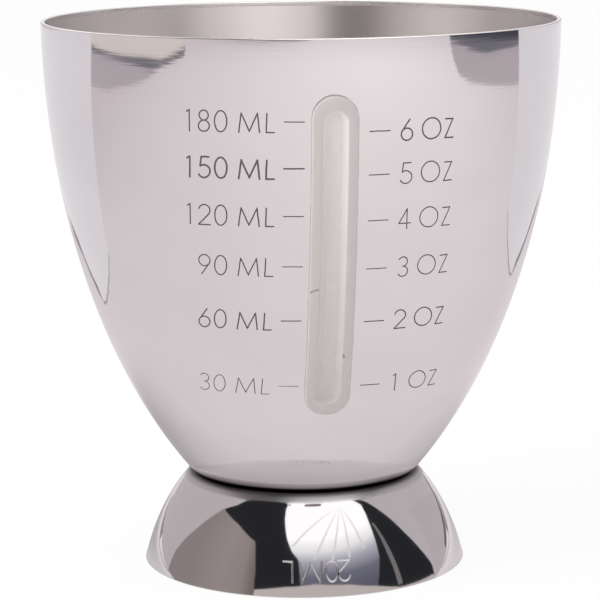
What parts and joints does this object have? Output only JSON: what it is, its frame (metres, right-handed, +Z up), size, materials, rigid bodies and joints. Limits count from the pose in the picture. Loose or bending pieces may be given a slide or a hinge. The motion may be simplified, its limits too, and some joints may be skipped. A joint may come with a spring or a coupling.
{
  "type": "bar jigger",
  "caption": "Double-ended steel bar jigger: deep measuring cup with a silicone sight window and engraved volume lines, welded base to base on a small inverted cup that is its foot.",
  "frame": {"origin": "on the axis at the level of the small cup's rim, which is what the jigger stands on", "axes": "+Z up along the axis towards the large cup's rim, -Y towards the sight window"},
  "size_m": [0.0788, 0.0793, 0.084],
  "materials": {
    "satin_steel": "stainless sheet, bright outside with a very fine turned grain, satin grain inside, dark engraved scale lines",
    "polished_steel": "stainless sheet, mirror polished, with one stamped volume mark",
    "silicone": "translucent uncoloured silicone with a soft gloss",
    "weld_steel": "fused spot weld with a heat tint, hidden between the two bottoms"
  },
  "bodies": {
    "root": {"large_cup": "satin_steel", "small_cup": "polished_steel", "sight_window": "silicone", "spot_weld_1": "weld_steel", "spot_weld_2": "weld_steel", "spot_weld_3": "weld_steel", "spot_weld_4": "weld_steel"}
  },
  "joints": []
}
